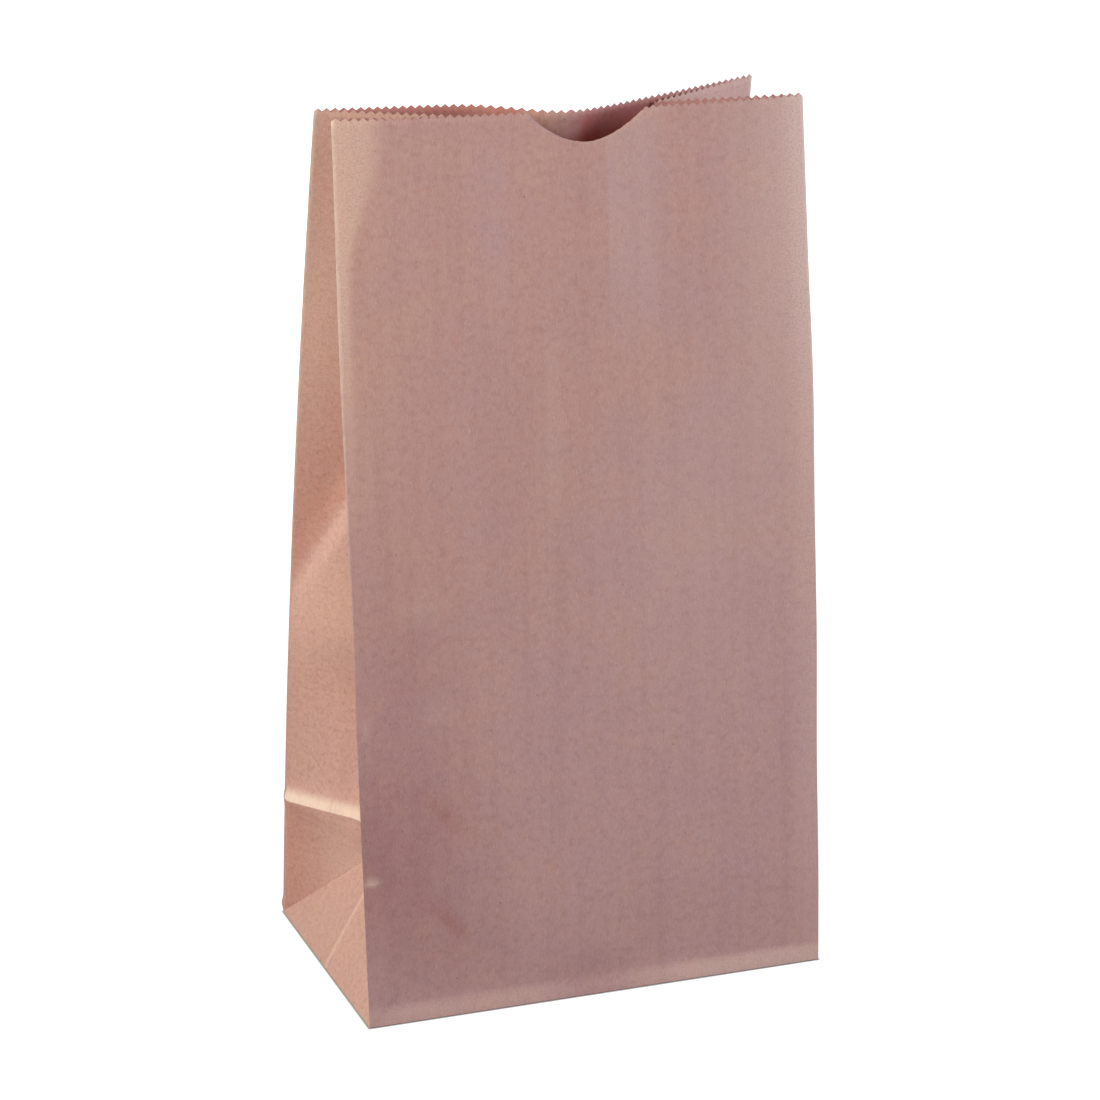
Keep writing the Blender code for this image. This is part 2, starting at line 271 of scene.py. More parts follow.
def ridge_rise(share):
    """How much higher than the middle crease's foot the ridge runs, at a share of the way from its fold."""
    return RIDGE_ARCH * share * smooth((1 - share) / RIDGE_END_SHARE) - RIDGE_LOWERED * (1 - share)


def ridge_height(from_fold):
    return CREASE_HEIGHT + ridge_rise(from_fold / CREASE_HEIGHT)


def over_bulge(from_fold, up):
    """How far a point of the left gusset's back half lies above the slanting line over its bulge."""
    return up - (BULGE_HEIGHT + BULGE_SLANT * from_fold)


def half_stand(side, from_fold, up):
    """How far a gusset's back half stands out: along its ridge, and on the left in its bulge and hollow."""
    ends = smooth(RIDGE_START + from_fold / RIDGE_START_REACH)
    ends *= smooth((1 - from_fold / CREASE_HEIGHT) / RIDGE_END_SHARE)
    above = up - ridge_height(from_fold)
    reach = RIDGE_ABOVE if above > 0 else RIDGE_BELOW
    stand = RIDGE_PROUD * max(0.0, 1 - abs(above) / reach) ** RIDGE_SHARPNESS * ends
    if side == RIGHT:
        return stand
    arch = math.sin(math.pi * from_fold / CREASE_HEIGHT)
    over = over_bulge(from_fold, up)
    bulge = smooth(-over / BULGE_EDGE) * smooth((up - BULGE_FOOT) / BULGE_FOOT_REACH)
    hollow = smooth(over / BULGE_EDGE) * (1 - smooth(over / HOLLOW_REACH))
    return stand + (BULGE_DEPTH * bulge - HOLLOW_DEPTH * hollow) * arch


def gusset_point(side, across, up):
    """A point of a gusset, across from its front fold to its back fold."""
    face = FRONT if across <= GUSSET_DEPTH / 2 else BACK
    from_fold = min(across, GUSSET_DEPTH - across)
    fold = upright_fold(side, face, up)
    if from_fold > up:
        near = slanted_crease(side, FRONT, up)
        far = slanted_crease(side, BACK, up)
        point = mix(near, far, (across - up) / (GUSSET_DEPTH - 2 * up))
        from_middle = abs(across - GUSSET_DEPTH / 2)
        crease = smooth(1 - from_middle / OLD_CREASE_REACH) * smooth((from_fold - up) / OLD_CREASE_FADE)
        point.x += side * OLD_CREASE_PROUD * crease * smooth(up / OLD_CREASE_FOOT)
        return point
    if up >= CREASE_HEIGHT:
        inner = middle_crease(side, up)
        share = from_fold / CREASE_HEIGHT
    else:
        inner = slanted_crease(side, face, up)
        share = from_fold / up if up > 0 else 0
    point = mix(fold, inner, share)
    if face == BACK and up > 0:
        inward = inner - fold
        outward = Vector((inward.y, -inward.x, 0)).normalized() * -side
        inside = 1.0 if up >= CREASE_HEIGHT else smooth((up - from_fold) / RELIEF_FADE)
        point += outward * half_stand(side, from_fold, up) * inside
    return point


def soft_ramp(distance):
    """Zero before a bend and rising after it, rounded over the paper's bending radius."""
    return (distance + math.hypot(distance, BEND_SOFTNESS)) / 2


def dent_shape(across):
    """Share of the dent's depth at one place across the back: three flats with two soft bends."""
    first = FIRST_BEND * PANEL_WIDTH
    second = SECOND_BEND * PANEL_WIDTH
    slope_in = FIRST_BEND_DEPTH / first
    slope_down = (1 - FIRST_BEND_DEPTH) / (second - first)
    slope_out = -1 / (PANEL_WIDTH - second)

    def rounded(place):
        turn_first = (slope_down - slope_in) * soft_ramp(place - first)
        turn_second = (slope_out - slope_down) * soft_ramp(place - second)
        return slope_in * place + turn_first + turn_second

    ends = mix(rounded(0), rounded(PANEL_WIDTH), across / PANEL_WIDTH)
    return rounded(across) - ends


def fold_window(across):
    """Zero at the folds of the front or back, one away from them."""
    return smooth(min(across, PANEL_WIDTH - across) / FOLD_STRIP)


def paper_wave(panel_number, across, up):
    """The soft unevenness of handled paper."""
    wide, high = across / WAVE_LENGTH, up / WAVE_LENGTH
    pattern = WAVE_PATTERN_GAP * panel_number
    wave = noise.noise(Vector((wide, high, pattern)))
    ripple = noise.noise(Vector((wide * RIPPLES_ACROSS, high * RIPPLES_UP, pattern + RIPPLE_PATTERN_SHIFT)))
    return WAVE_DEPTH * (wave + RIPPLE_SHARE * ripple)


def flutes(panel_number, across, up):
    """Upright ripples under the cut edge."""
    strength = smooth(1 - (BAG_HEIGHT - up) / FLUTE_REACH)
    place = Vector((across / FLUTE_LENGTH, up / FLUTE_HEIGHT, FLUTE_PATTERN_GAP * panel_number))
    return FLUTE_DEPTH * strength * noise.noise(place)


def front_point(across, up):
    """A point of the front, across from its left fold to its right fold."""
    share = across / PANEL_WIDTH
    point = mix(upright_fold(LEFT, FRONT, up), upright_fold(RIGHT, FRONT, up), share)
    point.y -= FRONT_BOW * 4 * share * (1 - share) * up / BAG_HEIGHT
    window = fold_window(across)
    point.y -= window * (paper_wave(1, across, up) + flutes(1, across, up)) * smooth(up / FOOT_FADE)
    foot = smooth(up / FOOT_STRIP) * (1 - smooth((up - FOOT_STRIP) / FOOT_STRIP_FADE))
    point.y += FOOT_DEPTH * window * foot
    risen = smooth((up - ROLL_FOOT) / (BAG_HEIGHT - ROLL_FOOT))
    left_roll = LEFT_ROLL * (1 - math.exp(-across / LEFT_ROLL_REACH)) * (1 - share)
    right_roll = RIGHT_ROLL * (1 - math.exp(-(PANEL_WIDTH - across) / RIGHT_ROLL_REACH)) * share
    point.y -= (left_roll + right_roll) * risen
    return point


def find_dent_depth():
    """The dent's depth at the mouth: as far as the gaps to the front and to each gusset's crease allow."""
    left = upright_fold(LEFT, BACK, BAG_HEIGHT)
    right = upright_fold(RIGHT, BACK, BAG_HEIGHT)

    def room(obstacle, gap):
        share = (obstacle.x - left.x) / (right.x - left.x)
        return (mix(left.y, right.y, share) - obstacle.y - gap) / dent_shape(share * PANEL_WIDTH)

    places = [PANEL_WIDTH * step / DENT_SAMPLES for step in range(1, DENT_SAMPLES)]
    deepest = max(places, key=dent_shape)
    limits = [room(front_point(deepest, BAG_HEIGHT), PINCH_GAP)]
    limits += [room(middle_crease(side, BAG_HEIGHT), NEST_GAP) for side in (LEFT, RIGHT)]
    return min(limits)


DENT_DEPTH = find_dent_depth()


def seam_layers(across):
    """Extra layers of paper where the sheet's two ends lap down the middle of the back."""
    from_edge = SEAM_LAP / 2 - abs(across - PANEL_WIDTH / 2)
    return min(1.0, max(0.0, from_edge / LAP_EDGE))


def paper_layers(panel, across):
    """Layers of paper at a place, thinned at the folds, where a narrow fold's inner faces would cross."""
    layers = 1.0 + (seam_layers(across) if panel["name"] == "back" else 0.0)
    from_fold = min(across, panel["width"] - across)
    return layers * mix(FOLD_THINNING, 1.0, smooth(from_fold / FOLD_THINNING_REACH))


def back_point(across, up):
    """A point of the back, across from its left fold to its right fold as the front sees it."""
    share = across / PANEL_WIDTH
    point = mix(upright_fold(LEFT, BACK, up), upright_fold(RIGHT, BACK, up), share)
    point.y -= DENT_DEPTH * dent_shape(across) * (up / BAG_HEIGHT) ** DENT_GROWTH
    point.y += PAPER_THICKNESS * seam_layers(across)
    relief = paper_wave(2, across, up) + flutes(2, across, up)
    point.y += fold_window(across) * relief * smooth(up / FOOT_FADE)
    return point


# The cut edge

def tooth_cut(from_fold, pitch):
    phase = (from_fold / pitch) % 1.0
    return TOOTH_DEPTH * abs(1 - 2 * phase)


def notch_cut(across):
    """Depth of the thumb notch at one place across the front, with its left shoulder rounded."""
    from_middle = across - PANEL_WIDTH / 2 - NOTCH_OFFSET
    share = abs(from_middle) / (NOTCH_WIDTH / 2)
    if share >= 1:
        return 0.0
    power = NOTCH_LEFT_POWER if from_middle < 0 else NOTCH_RIGHT_POWER
    fuzz = noise.noise(Vector((across / NOTCH_FUZZ_LENGTH, 0, 0)))
    depth = NOTCH_DEPTH * (1 - share**power) + NOTCH_FUZZ * fuzz
    if from_middle < 0:
        depth *= smooth((NOTCH_WIDTH / 2 + from_middle) / NOTCH_SHOULDER)
    return depth


def cut_height(panel, across):
    """Height of the cut edge at one place across a panel."""
    share = across / panel["width"]
    gain = mix(panel["gains"][0], panel["gains"][1], share) + panel["middle_gain"] * (1 - abs(1 - 2 * share))
    cut = tooth_cut(min(across, panel["width"] - across), panel["pitch"])
    if panel["name"] == "front":
        cut = max(cut, notch_cut(across))
    return BAG_HEIGHT + gain - cut


# The mesh of the sheet

def steps(start, end, wished):
    count = max(1, round((end - start) / wished))
    return [mix(start, end, place / count) for place in range(count + 1)]


def panel_columns(width, extra=()):
    """Columns on every tooth's tip and root, counted from both folds, and close to the folds."""
    half = width / 2
    near = [TEETH_COLUMN * place for place in range(int(half / TEETH_COLUMN) + 1)]
    places = near + [width - place for place in near]
    places += list(FOLD_COLUMNS) + [width - place for place in FOLD_COLUMNS] + list(extra)
    kept = []
    for place in sorted(places):
        if not kept or place - kept[-1] > CLOSEST_COLUMNS:
            kept.append(place)
    kept[-1] = width
    return kept


def gusset_columns(count):
    """Columns that the two slanted creases cross at the rows' own heights."""
    return [GUSSET_DEPTH * place / (2 * count) for place in range(2 * count + 1)]


def make_panels(low_count):
    """The four panels of the tube in their order round it, each with its columns and its cut."""
    seam_edge = (PANEL_WIDTH - SEAM_LAP) / 2
    seam = (seam_edge, seam_edge + LAP_EDGE, PANEL_WIDTH - seam_edge - LAP_EDGE, PANEL_WIDTH - seam_edge)
    notch_middle = PANEL_WIDTH / 2 + NOTCH_OFFSET
    notch_ends = (notch_middle - NOTCH_WIDTH / 2, notch_middle + NOTCH_WIDTH / 2)
    notch_columns = steps(*notch_ends, TEETH_COLUMN / 2)
    gusset_pitch = GUSSET_DEPTH / low_count
    left_gain, right_gain = FRONT_CUT_SLANT / 2, -FRONT_CUT_SLANT / 2
    return [
        {
            "name": "front",
            "point": front_point,
            "width": PANEL_WIDTH,
            "columns": panel_columns(PANEL_WIDTH, notch_columns),
            "gains": (left_gain, right_gain),
            "middle_gain": 0.0,
            "pitch": TOOTH_PITCH,
            "start": 0.0,
        },
        {
            "name": "right_gusset",
            "point": lambda across, up: gusset_point(RIGHT, across, up),
            "width": GUSSET_DEPTH,
            "columns": gusset_columns(low_count),
            "gains": (right_gain, 0.0),
            "middle_gain": GUSSET_CUT_RISE,
            "pitch": gusset_pitch,
            "start": PANEL_WIDTH,
        },
        {
            "name": "back",
            "point": lambda across, up: back_point(PANEL_WIDTH - across, up),
            "width": PANEL_WIDTH,
            "columns": panel_columns(PANEL_WIDTH, seam),
            "gains": (0.0, 0.0),
            "middle_gain": 0.0,
            "pitch": TOOTH_PITCH,
            "start": PANEL_WIDTH + GUSSET_DEPTH,
        },
        {
            "name": "left_gusset",
            "point": lambda across, up: gusset_point(LEFT, GUSSET_DEPTH - across, up),
            "width": GUSSET_DEPTH,
            "columns": gusset_columns(low_count),
            "gains": (0.0, left_gain),
            "middle_gain": GUSSET_CUT_RISE,
            "pitch": gusset_pitch,
            "start": 2 * PANEL_WIDTH + GUSSET_DEPTH,
        },
    ]


def even_row_heights(low_count):
    """Heights of the rows below the cut band: through the slanted creases, and close at the ridge."""
    low_rows = [CREASE_HEIGHT * place / low_count for place in range(low_count + 1)]
    fine_rows = steps(CREASE_HEIGHT, CREASE_HEIGHT + RIDGE_ABOVE, TEETH_COLUMN)[1:]
    return low_rows + fine_rows + steps(fine_rows[-1], BAG_HEIGHT - RIM_BAND, ROW_STEP)[1:]


def build_sheet():
    """The outer face of the whole sheet, with its place on the flat blank as its UV map."""
    low_count = round(CREASE_HEIGHT / TEETH_COLUMN)
    panels = make_panels(low_count)
    even_rows = even_row_heights(low_count)
    row_count = len(even_rows) + RIM_ROWS
    mesh = bmesh.new()
    sheet_map = mesh.loops.layers.uv.new("sheet")
    marks = {name: mesh.verts.layers.float.new(name) for name in MARKS}
    shared = {}

    def row_height(panel, across, row):
        if row < len(even_rows):
            return even_rows[row] - row_lowering(panel["name"], across, even_rows[row])
        share = (row - len(even_rows) + 1) / RIM_ROWS
        return mix(BAG_HEIGHT - RIM_BAND, cut_height(panel, across), share)

    def add_point(panel, across, up):
        vertex = mesh.verts.new(panel["point"](across, up))
        for name, value in point_marks(panel, across, up).items():
            vertex[marks[name]] = value
        return vertex

    for number, panel in enumerate(panels):
        columns = panel["columns"]
        folds = {0: number, len(columns) - 1: (number + 1) % len(panels)}
        grid = []
        for row in range(row_count):
            line = []
            for column, across in enumerate(columns):
                up = row_height(panel, across, row)
                shared_key = (folds[column], row) if column in folds else None
                vertex = shared.get(shared_key) or add_point(panel, across, up)
                if shared_key:
                    shared[shared_key] = vertex
                line.append((vertex, (panel["start"] + across, up)))
            grid.append(line)
        for row in range(row_count - 1):
            for column in range(len(columns) - 1):
                add_cell(mesh, sheet_map, panel, grid, row, column, low_count)
    close_bottom(mesh, sheet_map)
    bmesh.ops.recalc_face_normals(mesh, faces=mesh.faces)
    for face in mesh.faces:
        face.smooth = True
    data = bpy.data.meshes.new("paper_sheet")
    mesh.to_mesh(data)
    mesh.free()
    return data


def row_lowering(name, across, up):
    """How much lower a row runs near a back fold, so that one row of points follows each ridge."""
    if name == "front" or up == 0 or up > CREASE_HEIGHT + RIDGE_SPREAD:
        return 0.0
    fade = up / CREASE_HEIGHT if up < CREASE_HEIGHT else 1 - (up - CREASE_HEIGHT) / RIDGE_SPREAD
    if name == "back":
        toward_fold = 1 - smooth(min(across, PANEL_WIDTH - across) / RIDGE_SPREAD)
        return RIDGE_LOWERED * toward_fold * fade
    from_back = across if name == "left_gusset" else GUSSET_DEPTH - across
    share = min(1.0, from_back / min(up, CREASE_HEIGHT))
    return -ridge_rise(share) * fade


# Marks on the sheet, which paint the paper's tone, much of it painted highlight and painted shade: how
# strong each is, and where across and up the panel

# A painted highlight over the front's upper right, where the light from the right falls
RIGHT_HIGHLIGHT = 0.48
RIGHT_HIGHLIGHT_ACROSS = (0.114, 0.150)
RIGHT_HIGHLIGHT_UP = (0.130, 0.240)
# A pale line along the right fold, painted highlight where the right light grazes the edge
RIGHT_EDGE_FOOT = 0.20
RIGHT_EDGE_MOUTH = 0.58
RIGHT_EDGE_ACROSS = (0.141, 0.152)
# A painted highlight on the top of the left edge, which rolls toward the light from the left
PATCH = 0.62
PATCH_WIDTH_LOW = 0.0038
PATCH_WIDTH_TOP = 0.0128
PATCH_WIDENS_UP = (0.234, 0.274)
PATCH_EDGE = (0.7, 1.3)
PATCH_UP = (0.150, 0.230)
# The lighter strip along the bottom fold: painted highlight where the foot faces up, partly rubbed paper
STRIP = 0.30
STRIP_TOP = (0.0042, 0.0068)
STRIP_GAIN = 0.25
STRIP_GAIN_ACROSS = (0.095, 0.110)
STRIP_GAP_PLACE = 0.075
STRIP_GAP_REACH = 0.014
# A thin dark line up from the bottom corner: painted shade beside the corner crease
CORNER_CREASE = 0.55
CORNER_CREASE_SHIFT = 0.0004
CORNER_CREASE_REACH = 0.0012
CORNER_CREASE_TOP = 0.017
# Mauve towards the foot: painted shade on the front, and the same tint on the back
FRONT_MAUVE = 0.52
BACK_MAUVE = 0.40
MAUVE_UP = (0.075, 0.185)

# Each spot: strength, place across and up, reach across and up. The pale spots are painted highlights and
# the dark spots painted shade
HIGHLIGHT_SPOTS = (
    (1.20, (0.0028, 0.0466), (0.0022, 0.0009)),
    (0.40, (0.0027, 0.0951), (0.0014, 0.0022)),
    (0.20, (0.0210, 0.1320), (0.0080, 0.0060)),
    (0.16, (0.0260, 0.0980), (0.0070, 0.0050)),
    (0.18, (0.1150, 0.1500), (0.0320, 0.0550)),
)
SHADE_SPOTS = (
    (1.00, (0.006, 0.052), (0.030, 0.036)),
    (0.45, (0.016, 0.118), (0.018, 0.034)),
    (0.40, (0.074, 0.009), (0.016, 0.007)),
    (0.25, (0.030, 0.020), (0.020, 0.020)),
)
MAUVE_SPOTS = (
    (0.20, (0.042, 0.190), (0.014, 0.045)),
    (0.30, (0.100, 0.150), (0.040, 0.050)),
)
SCRATCH = 0.70
SCRATCH_PLACES = ((0.0265, 0.066), (0.0270, 0.031))
SCRATCH_LENGTH = 0.0085
SCRATCH_WIDTH = 0.0017

# Each upright band: where it starts and ends across, where it starts and ends up, how pale, how mauve
BANDS = (
    ((0.0840, 0.0854), (0.0970, 0.1070), (0.196, 0.236), (0.290, 0.300), 0.20, 0.55),
    ((0.0380, 0.0470), (0.0521, 0.0535), (0.205, 0.235), (0.264, 0.279), 0.06, 0.50),
    ((0.0600, 0.0650), (0.0676, 0.0690), (0.140, 0.170), (0.202, 0.222), 0.14, 0.15),
)

# The gussets, by the distance from their back fold: painted highlight where they face the light, and warm
# painted shade near the back fold under the ridge and in the hollow over the left bulge
TRIANGLE_HIGHLIGHT = 0.20
GUSSET_HIGHLIGHT = 0.10
UNDER_RIDGE_HIGHLIGHT = 0.24
UNDER_RIDGE_FROM_BACK = (0.012, 0.027)
UNDER_RIDGE_FADE = 0.008
UPPER_HIGHLIGHT = 0.32
UPPER_UP = (0.150, 0.220)
TOP_LESS_HIGHLIGHT = 0.45
TOP_WARM = 0.14
TOP_UP = (0.225, 0.265)
# Warm painted shade near the back fold, under the ridge
FOLD_SHADE_WARM = 0.70
FOLD_SHADE_REACH = 0.026
FOLD_SHADE_FADE = 0.001
RIGHT_TOP_HIGHLIGHT = 0.30
RIGHT_TOP_UP = (0.240, 0.260)
# Painted highlight on the bulge, under its slanting line
BULGE_HIGHLIGHT = 0.18
BULGE_HIGHLIGHT_FADE = 0.006
BULGE_HIGHLIGHT_UP = (0.092, 0.120)
# Warm painted shade in the shallow hollow over the bulge
HOLLOW_SHADE_WARM = 0.62
HOLLOW_SHADE_START = (-0.0018, 0.0042)
HOLLOW_SHADE_END = (0.010, 0.095)

# The back: lighter towards its top, darker towards its foot, and the glued lap
BACK_TOP_LIGHTER = 0.20
BACK_TOP_UP = (0.200, 0.280)
BACK_FOOT_DARKER = 0.20
BACK_FOOT_TOP = 0.120
LAP_HANDLED = 0.20
LAP_WARM = 0.15
LAP_FADE = 0.0003
LAP_LINE = 0.55
LAP_LINE_REACH = (0.0002, 0.0012)

# Painted shade on the inner face, deepening down inside the bag: how strong at each panel's cut edge, below
# it, and on the back's steep part
RIM_SHADE = {"front": 0.30, "right_gusset": 0.30, "left_gusset": 0.55, "back": 0.45}
SHADE_BELOW_RIM = (0.001, 0.015)
BACK_RIM_END = (0.058, 0.068)
BACK_SHADE_BELOW_RIM = (0.005, 0.019)
STEEP_SHADE = 0.75
STEEP_ACROSS = (0.072, 0.084)
STEEP_BELOW_RIM = (-0.002, 0.004)

# The pale line along the upright folds, partly wear and partly a painted highlight of the rounded fold
WORN_WIDTH_FOOT = 0.0003
WORN_WIDTH_MOUTH = 0.0016
LESS_WORN_FOOT = 0.80
LESS_WORN_UP = (0.030, 0.230)


def hump(value, place, reach):
    return math.exp(-(((value - place) / reach) ** 2))


def spots(across, up, listed):
    """The sum of some soft spots at one place."""
    return sum(
        strength * hump(across, place[0], reach[0]) * hump(up, place[1], reach[1])
        for strength, place, reach in listed
    )


def scratch(across, up, place):
    """A soft scratch that falls to the right."""
    right, above = across - place[0], up - place[1]
    along, beside = (right - above) / math.sqrt(2), (right + above) / math.sqrt(2)
    return SCRATCH * hump(along, 0, SCRATCH_LENGTH) * hump(beside, 0, SCRATCH_WIDTH)


def window(value, start, end):
    """One between two soft edges and zero outside them."""
    return rise(value, *start) * (1 - rise(value, *end))


def foot_strip(up):
    """The strip along the bottom fold."""
    return 1 - rise(up, *STRIP_TOP)


def front_marks(across, up):
    """Where the front carries painted highlight (partly rubbed paper), painted shade, warm scratches, and a
    mauve tint that is painted shade towards the foot.
    """
    right_highlight = RIGHT_HIGHLIGHT * rise(across, *RIGHT_HIGHLIGHT_ACROSS) * rise(up, *RIGHT_HIGHLIGHT_UP)
    edge_strength = mix(RIGHT_EDGE_FOOT, RIGHT_EDGE_MOUTH, up / BAG_HEIGHT)
    right_edge = edge_strength * rise(across, *RIGHT_EDGE_ACROSS)
    patch_width = mix(PATCH_WIDTH_LOW, PATCH_WIDTH_TOP, rise(up, *PATCH_WIDENS_UP))
    patch = PATCH * (1 - rise(across / patch_width, *PATCH_EDGE)) * rise(up, *PATCH_UP)
    strip_strength = STRIP * (1 - hump(across, STRIP_GAP_PLACE, STRIP_GAP_REACH))
    strip_strength += STRIP_GAIN * rise(across, *STRIP_GAIN_ACROSS)
    strip = strip_strength * foot_strip(up)
    corner = CORNER_CREASE * hump(across - up, CORNER_CREASE_SHIFT, CORNER_CREASE_REACH)
    pale = right_highlight + right_edge + patch + strip + spots(across, up, HIGHLIGHT_SPOTS)
    dark = spots(across, up, SHADE_SPOTS) + corner * (1 - rise(up, 0, CORNER_CREASE_TOP))
    warm = sum(scratch(across, up, place) for place in SCRATCH_PLACES)
    mauve = FRONT_MAUVE * (1 - rise(up, *MAUVE_UP)) + spots(across, up, MAUVE_SPOTS)
    for left, right, low, high, band_pale, band_mauve in BANDS:
        band = window(across, left, right) * window(up, low, high)
        pale += band_pale * band
        mauve += band_mauve * band
    return pale, dark, warm, mauve


def gusset_marks(side, from_back, up):
    """The same for a gusset, by its distance from the back fold: painted highlight where it faces the light,
    warm painted shade near the back fold under the ridge and, on the left, in the hollow over the bulge.
    """
    if from_back > min(up + CREASE_SLACK, CREASE_HEIGHT):
        return TRIANGLE_HIGHLIGHT, 0.0, 0.0, 0.0
    below_ridge = ridge_height(from_back) - up
    under_ridge = rise(from_back, *UNDER_RIDGE_FROM_BACK) * rise(below_ridge, 0, UNDER_RIDGE_FADE)
    top = rise(up, *TOP_UP)
    pale = GUSSET_HIGHLIGHT + UNDER_RIDGE_HIGHLIGHT * under_ridge
    pale += UPPER_HIGHLIGHT * rise(up, *UPPER_UP) * (1 - TOP_LESS_HIGHLIGHT * top)
    fold_shade = (1 - rise(from_back, 0, FOLD_SHADE_REACH)) * rise(below_ridge, 0, FOLD_SHADE_FADE)
    warm = FOLD_SHADE_WARM * fold_shade + TOP_WARM * top
    if side == RIGHT:
        pale += RIGHT_TOP_HIGHLIGHT * rise(up, *RIGHT_TOP_UP)
        return pale, 0.0, warm, 0.0
    over = over_bulge(from_back, up)
    pale += BULGE_HIGHLIGHT * rise(-over, 0, BULGE_HIGHLIGHT_FADE) * rise(up, *BULGE_HIGHLIGHT_UP)
    warm += HOLLOW_SHADE_WARM * window(over, HOLLOW_SHADE_START, HOLLOW_SHADE_END)
    return pale, 0.0, warm, 0.0


def back_marks(across, up):
    """The same for the back: lighter towards its top, darker towards its foot, the painted highlight of the
    strip along the bottom fold, its glued lap and the darker line along the lap's edge.
    """
    lap = rise(SEAM_LAP / 2 - abs(across - PANEL_WIDTH / 2), 0, LAP_FADE)
    lap_line = 1 - rise(abs(across - (PANEL_WIDTH - SEAM_LAP) / 2), *LAP_LINE_REACH)
    pale = BACK_TOP_LIGHTER * rise(up, *BACK_TOP_UP) + STRIP * foot_strip(up)
    dark = LAP_HANDLED * lap + LAP_LINE * lap_line + BACK_FOOT_DARKER * (1 - rise(up, 0, BACK_FOOT_TOP))
    mauve = BACK_MAUVE * (1 - rise(up, *MAUVE_UP))
    return pale, dark, LAP_WARM * lap, mauve


def tone_marks(panel, across, up):
    if panel["name"] == "front":
        return front_marks(across, up)
    if panel["name"] == "left_gusset":
        return gusset_marks(LEFT, across, up)
    if panel["name"] == "right_gusset":
        return gusset_marks(RIGHT, GUSSET_DEPTH - across, up)
    return back_marks(across, up)


def inside_shade_mark(panel, across, up):
    """How strong the painted shade on the inner face is at one place, up to 1, deepening down inside the
    bag; the back's steep part is shaded more.
    """
    below_rim = BAG_HEIGHT - up
    rim_shade = RIM_SHADE[panel["name"]]
    if panel["name"] != "back":
        return mix(rim_shade, 1.0, rise(below_rim, *SHADE_BELOW_RIM))
    from_left = PANEL_WIDTH - across
    rim_shade *= 1 - rise(from_left, *BACK_RIM_END)
    depth = mix(rim_shade, 1.0, rise(below_rim, *BACK_SHADE_BELOW_RIM))
    steep = rise(from_left, *STEEP_ACROSS) * rise(below_rim, *STEEP_BELOW_RIM)
    return min(1.0, depth + STEEP_SHADE * steep)


def wear_distance(across, width, up):
    """How far a point is from its upright fold, in widths of the pale line, partly wear and partly painted
    highlight, which widens to the mouth.
    """
    worn_width = mix(WORN_WIDTH_FOOT, WORN_WIDTH_MOUTH, smooth(up / BAG_HEIGHT))
    less_worn = mix(LESS_WORN_FOOT, 0.0, rise(up, *LESS_WORN_UP))
    return less_worn + min(across, width - across) / worn_width


def ridge_distance(name, across, up):
    """How far above the ridge a point of a gusset's back half is, or below it with a minus sign."""
    from_back = across if name == "left_gusset" else GUSSET_DEPTH - across
    if from_back > GUSSET_DEPTH / 2 or from_back > up + CREASE_SLACK:
        return FAR
    return (up - ridge_height(from_back)) * MILLIMETRES


def triangle_distance(across, up):
    """How far a point of a bottom triangle is from the old middle crease down it."""
    if up + CREASE_SLACK > min(across, GUSSET_DEPTH - across):
        return FAR
    return abs(across - GUSSET_DEPTH / 2) * MILLIMETRES


def point_marks(panel, across, up):
    """Every mark that a point of the sheet carries."""
    gusset = "gusset" in panel["name"]
    pale, dark, warm, mauve = tone_marks(panel, across, up)
    return {
        "from_fold": wear_distance(across, panel["width"], up),
        "from_ridge": ridge_distance(panel["name"], across, up) if gusset else FAR,
        "from_crease": triangle_distance(across, up) if gusset else FAR,
        "pale": pale,
        "dark": dark,
        "warm": warm,
        "mauve": mauve,
        "inner_shade": inside_shade_mark(panel, across, up),
        "layers": paper_layers(panel, across),
        "coarse": 1.0 if gusset else 0.0,
    }


def add_cell(mesh, sheet_map, panel, grid, row, column, low_count):
    """One cell of a panel's grid, split along the slanted crease where it crosses the cell."""
    corners = [grid[row][column], grid[row][column + 1], grid[row + 1][column + 1], grid[row + 1][column]]
    rising = "gusset" in panel["name"] and row < low_count and column == row
    falling = "gusset" in panel["name"] and row < low_count and column == 2 * low_count - 1 - row
    if rising:
        parts = [(0, 1, 2), (0, 2, 3)]
    elif falling:
        parts = [(0, 1, 3), (1, 2, 3)]
    else:
        parts = [(0, 1, 2, 3)]
    for part in parts:
        face = mesh.faces.new([corners[corner][0] for corner in part])
        for loop, corner in zip(face.loops, part):
            loop[sheet_map].uv = corners[corner][1]


def close_bottom(mesh, sheet_map):
    """The flat inner layer of the bottom, a fan from its middle."""
    centre = mesh.verts.new((0, 0, BOTTOM_LEVEL))
    rim = [edge for edge in mesh.edges if edge.is_boundary]
    for edge in rim:
        if all(abs(vertex.co.z - BOTTOM_LEVEL) < PAPER_THICKNESS / 4 for vertex in edge.verts):
            face = mesh.faces.new((centre, edge.verts[0], edge.verts[1]))
            for loop in face.loops:
                loop[sheet_map].uv = loop.vert.co.xy + INNER_LAYER_PLACE


def sharpen_folds(data):
    """Marks the hard folds, so that the shading breaks there."""
    mesh = bmesh.new()
    mesh.from_mesh(data)
    for edge in mesh.edges:
        if len(edge.link_faces) == 2 and edge.calc_face_angle() > HARD_FOLD_ANGLE:
            edge.smooth = False
    mesh.to_mesh(data)
    mesh.free()


